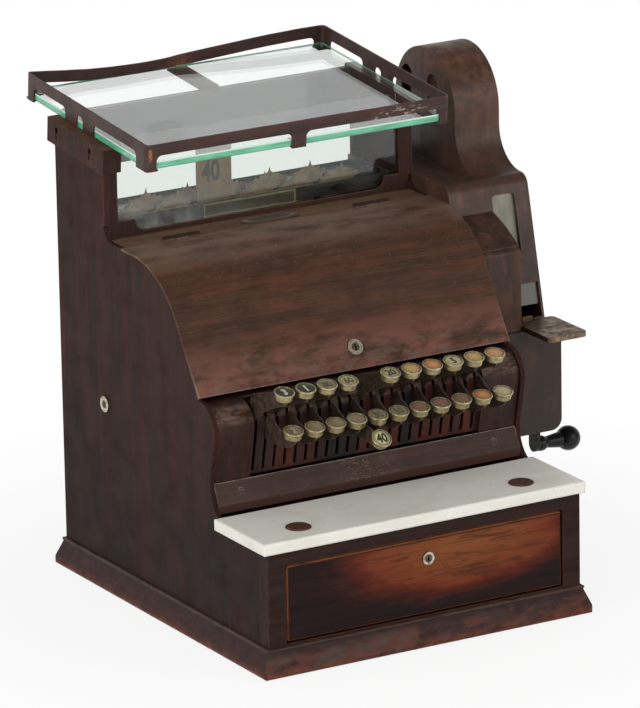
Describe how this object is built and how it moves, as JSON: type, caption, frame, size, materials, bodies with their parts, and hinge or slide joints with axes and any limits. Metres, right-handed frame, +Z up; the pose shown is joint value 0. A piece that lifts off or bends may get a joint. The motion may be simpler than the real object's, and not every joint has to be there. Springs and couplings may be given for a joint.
{
  "type": "ticket register",
  "caption": "Counter-top ticket register with lever keys, curved lid, flag window, glass shelf, cash drawer and crank-driven receipt printer.",
  "frame": {"origin": "centre of the base's underside, under the moulding, printer and shelf left out", "axes": "+Z up, +X to the right of someone who faces the keys, -Y to the front"},
  "size_m": [0.5522, 0.5233, 0.5335],
  "materials": {
    "moulding_wood": "stained and varnished, worn orange at its edges",
    "case_wood": "dark mahogany stain",
    "drawer_wood": "stained wood, worn through to orange in the middle",
    "box_wood": "plain sanded wood",
    "grained_steel": "painted in imitation of mahogany grain, satin",
    "dark_steel": "dark brown paint, worn at the edges",
    "marble": "polished, greyed with age",
    "brown_cap": "rust-brown paint",
    "lock_nickel": "nickel plate worn to brass",
    "plug_nickel": "nickel plate, dull",
    "shaft_steel": "turned, oiled",
    "cast_frame": "as cast, oiled",
    "pane_glass": "clear, dusty",
    "shelf_glass": "clear, green at its edges",
    "trough_paint": "grey-green paint",
    "plate_brass": "dark, tarnished",
    "flag_card": "printed card, browned",
    "rail_paint": "dark brown paint over steel",
    "pale_plate": "pale grey-green paint",
    "tray_nickel": "nickel plate worn to brass",
    "paper": "plain",
    "crank_steel": "worn nickel over steel",
    "knob_black": "turned black hard rubber, polished",
    "key_nickel": "nickel rim worn to brass, steel lever"
  },
  "bodies": {
    "cabinet": {"base_moulding": "moulding_wood", "drawer_case": "case_wood", "left_side_panel": "grained_steel", "right_side_panel": "grained_steel", "back_panel": "grained_steel", "marble_sill": "marble", "marble_caps": "brown_cap", "drawer_runners": "box_wood", "keyboard_cover": "dark_steel", "ledge_strip": "dark_steel", "key_shaft": "shaft_steel", "works_frame": "cast_frame", "hinge_strip": "grained_steel", "side_lock": "lock_nickel", "window_frame": "grained_steel", "window_glass": "pane_glass", "flag_trough": "trough_paint", "nameplates": "plate_brass", "lowered_flags": "flag_card", "shelf_glass": "shelf_glass", "gallery_rail": "rail_paint", "printer_case": "grained_steel", "ribbon_cover": "dark_steel", "paper_window": "pale_plate", "receipt_tray": "tray_nickel"},
    "lid": {"lid": "grained_steel", "lid_lock": "lock_nickel"},
    "lid_plug": {"lid_lock_plug": "plug_nickel"},
    "side_plug": {"side_lock_plug": "plug_nickel"},
    "drawer": {"drawer_box": "box_wood", "drawer_front": "drawer_wood", "drawer_lock": "lock_nickel"},
    "drawer_plug": {"drawer_lock_plug": "plug_nickel"},
    "raised_flag": {"raised_flag": "flag_card"},
    "crank": {"crank_arm": "crank_steel", "main_shaft": "shaft_steel"},
    "knob": {"crank_knob": "knob_black"},
    "roll": {"paper_roll": "paper"},
    "upper_key_1": {"upper_key_1": "key_nickel"},
    "upper_key_2": {"upper_key_2": "key_nickel"},
    "upper_key_3": {"upper_key_3": "key_nickel"},
    "upper_key_4": {"upper_key_4": "key_nickel"},
    "upper_key_5": {"upper_key_5": "key_nickel"},
    "upper_key_6": {"upper_key_6": "key_nickel"},
    "upper_key_7": {"upper_key_7": "key_nickel"},
    "upper_key_8": {"upper_key_8": "key_nickel"},
    "upper_key_9": {"upper_key_9": "key_nickel"},
    "upper_key_10": {"upper_key_10": "key_nickel"},
    "upper_key_11": {"upper_key_11": "key_nickel"},
    "lower_key_1": {"lower_key_1": "key_nickel"},
    "lower_key_2": {"lower_key_2": "key_nickel"},
    "lower_key_3": {"lower_key_3": "key_nickel"},
    "lower_key_4": {"lower_key_4": "key_nickel"},
    "lower_key_5": {"lower_key_5": "key_nickel"},
    "lower_key_6": {"lower_key_6": "key_nickel"},
    "lower_key_7": {"lower_key_7": "key_nickel"},
    "lower_key_8": {"lower_key_8": "key_nickel"},
    "lower_key_9": {"lower_key_9": "key_nickel"},
    "lower_key_10": {"lower_key_10": "key_nickel"},
    "lower_key_11": {"lower_key_11": "key_nickel"}
  },
  "joints": [
    {"name": "lid_hinge", "type": "hinge", "parent": "cabinet", "child": "lid", "pos_m": [0, 0.07825, 0.3895], "axis": [-1, 0, 0], "range_deg": [0, 60]},
    {"name": "lid_plug_turn", "type": "hinge", "parent": "lid", "child": "lid_plug", "pos_m": [0.006, -0.07099, 0.28515], "axis": [0, -0.848, 0.5299], "range_deg": [0, 90]},
    {"name": "side_plug_turn", "type": "hinge", "parent": "cabinet", "child": "side_plug", "pos_m": [-0.189, 0.12225, 0.206], "axis": [-1, 0, 0], "range_deg": [0, 90]},
    {"name": "drawer_slide", "type": "slide", "parent": "cabinet", "child": "drawer", "axis": [0, -1, 0], "range_m": [0, 0.28]},
    {"name": "drawer_plug_turn", "type": "hinge", "parent": "drawer", "child": "drawer_plug", "pos_m": [0.0027, -0.21975, 0.0943], "axis": [0, -1, 0], "range_deg": [0, 90]},
    {"name": "crank_turn", "type": "hinge", "parent": "cabinet", "child": "crank", "pos_m": [0.2929, 0.03925, 0.18996], "axis": [1, 0, 0], "continuous": true},
    {"name": "knob_spin", "type": "hinge", "parent": "crank", "child": "knob", "pos_m": [0.3289, 0.03925, 0.09835], "axis": [1, 0, 0], "continuous": true},
    {"name": "roll_spin", "type": "hinge", "parent": "cabinet", "child": "roll", "pos_m": [0.2609, 0.15775, 0.467], "axis": [1, 0, 0], "continuous": true},
    {"name": "raised_flag_slide", "type": "slide", "parent": "cabinet", "child": "raised_flag", "axis": [0, 0, 1], "range_m": [-0.048, 0]},
    {"name": "upper_key_1_press", "type": "hinge", "parent": "cabinet", "child": "upper_key_1", "pos_m": [-0.13335, -0.03855, 0.20095], "axis": [1, 0, 0], "range_deg": [0, 25], "stiffness_Nm_per_rad": 0.4, "springref_deg": -28.65},
    {"name": "upper_key_2_press", "type": "hinge", "parent": "cabinet", "child": "upper_key_2", "pos_m": [-0.10795, -0.03855, 0.20095], "axis": [1, 0, 0], "range_deg": [0, 25], "stiffness_Nm_per_rad": 0.4, "springref_deg": -28.65},
    {"name": "upper_key_3_press", "type": "hinge", "parent": "cabinet", "child": "upper_key_3", "pos_m": [-0.08255, -0.03855, 0.20095], "axis": [1, 0, 0], "range_deg": [0, 25], "stiffness_Nm_per_rad": 0.4, "springref_deg": -28.65},
    {"name": "upper_key_4_press", "type": "hinge", "parent": "cabinet", "child": "upper_key_4", "pos_m": [-0.05715, -0.03855, 0.20095], "axis": [1, 0, 0], "range_deg": [0, 25], "stiffness_Nm_per_rad": 0.4, "springref_deg": -28.65},
    {"name": "upper_key_5_press", "type": "hinge", "parent": "cabinet", "child": "upper_key_5", "pos_m": [-0.03175, -0.03855, 0.20095], "axis": [1, 0, 0], "range_deg": [-25, 0]},
    {"name": "upper_key_6_press", "type": "hinge", "parent": "cabinet", "child": "upper_key_6", "pos_m": [-0.00635, -0.03855, 0.20095], "axis": [1, 0, 0], "range_deg": [0, 25], "stiffness_Nm_per_rad": 0.4, "springref_deg": -28.65},
    {"name": "upper_key_7_press", "type": "hinge", "parent": "cabinet", "child": "upper_key_7", "pos_m": [0.01905, -0.03855, 0.20095], "axis": [1, 0, 0], "range_deg": [0, 25], "stiffness_Nm_per_rad": 0.4, "springref_deg": -28.65},
    {"name": "upper_key_8_press", "type": "hinge", "parent": "cabinet", "child": "upper_key_8", "pos_m": [0.04445, -0.03855, 0.20095], "axis": [1, 0, 0], "range_deg": [0, 25], "stiffness_Nm_per_rad": 0.4, "springref_deg": -28.65},
    {"name": "upper_key_9_press", "type": "hinge", "parent": "cabinet", "child": "upper_key_9", "pos_m": [0.06985, -0.03855, 0.20095], "axis": [1, 0, 0], "range_deg": [0, 25], "stiffness_Nm_per_rad": 0.4, "springref_deg": -28.65},
    {"name": "upper_key_10_press", "type": "hinge", "parent": "cabinet", "child": "upper_key_10", "pos_m": [0.09525, -0.03855, 0.20095], "axis": [1, 0, 0], "range_deg": [0, 25], "stiffness_Nm_per_rad": 0.4, "springref_deg": -28.65},
    {"name": "upper_key_11_press", "type": "hinge", "parent": "cabinet", "child": "upper_key_11", "pos_m": [0.12065, -0.03855, 0.20095], "axis": [1, 0, 0], "range_deg": [0, 25], "stiffness_Nm_per_rad": 0.4, "springref_deg": -28.65},
    {"name": "lower_key_1_press", "type": "hinge", "parent": "cabinet", "child": "lower_key_1", "pos_m": [-0.12065, -0.03855, 0.20095], "axis": [1, 0, 0], "range_deg": [0, 25], "stiffness_Nm_per_rad": 0.4, "springref_deg": -28.65},
    {"name": "lower_key_2_press", "type": "hinge", "parent": "cabinet", "child": "lower_key_2", "pos_m": [-0.09525, -0.03855, 0.20095], "axis": [1, 0, 0], "range_deg": [0, 25], "stiffness_Nm_per_rad": 0.4, "springref_deg": -28.65},
    {"name": "lower_key_3_press", "type": "hinge", "parent": "cabinet", "child": "lower_key_3", "pos_m": [-0.06985, -0.03855, 0.20095], "axis": [1, 0, 0], "range_deg": [0, 25], "stiffness_Nm_per_rad": 0.4, "springref_deg": -28.65},
    {"name": "lower_key_4_press", "type": "hinge", "parent": "cabinet", "child": "lower_key_4", "pos_m": [-0.04445, -0.03855, 0.20095], "axis": [1, 0, 0], "range_deg": [0, 25], "stiffness_Nm_per_rad": 0.4, "springref_deg": -28.65},
    {"name": "lower_key_5_press", "type": "hinge", "parent": "cabinet", "child": "lower_key_5", "pos_m": [-0.01905, -0.03855, 0.20095], "axis": [1, 0, 0], "range_deg": [0, 25], "stiffness_Nm_per_rad": 0.4, "springref_deg": -28.65},
    {"name": "lower_key_6_press", "type": "hinge", "parent": "cabinet", "child": "lower_key_6", "pos_m": [0.00635, -0.03855, 0.20095], "axis": [1, 0, 0], "range_deg": [0, 25], "stiffness_Nm_per_rad": 0.4, "springref_deg": -28.65},
    {"name": "lower_key_7_press", "type": "hinge", "parent": "cabinet", "child": "lower_key_7", "pos_m": [0.03175, -0.03855, 0.20095], "axis": [1, 0, 0], "range_deg": [0, 25], "stiffness_Nm_per_rad": 0.4, "springref_deg": -28.65},
    {"name": "lower_key_8_press", "type": "hinge", "parent": "cabinet", "child": "lower_key_8", "pos_m": [0.05715, -0.03855, 0.20095], "axis": [1, 0, 0], "range_deg": [0, 25], "stiffness_Nm_per_rad": 0.4, "springref_deg": -28.65},
    {"name": "lower_key_9_press", "type": "hinge", "parent": "cabinet", "child": "lower_key_9", "pos_m": [0.08255, -0.03855, 0.20095], "axis": [1, 0, 0], "range_deg": [0, 25], "stiffness_Nm_per_rad": 0.4, "springref_deg": -28.65},
    {"name": "lower_key_10_press", "type": "hinge", "parent": "cabinet", "child": "lower_key_10", "pos_m": [0.10795, -0.03855, 0.20095], "axis": [1, 0, 0], "range_deg": [0, 25], "stiffness_Nm_per_rad": 0.4, "springref_deg": -28.65},
    {"name": "lower_key_11_press", "type": "hinge", "parent": "cabinet", "child": "lower_key_11", "pos_m": [0.13335, -0.03855, 0.20095], "axis": [1, 0, 0], "range_deg": [0, 25], "stiffness_Nm_per_rad": 0.4, "springref_deg": -28.65}
  ],
  "couplings": [
    {"joint": "raised_flag_slide", "follows": "upper_key_5_press", "m_per_rad": 0.11}
  ]
}
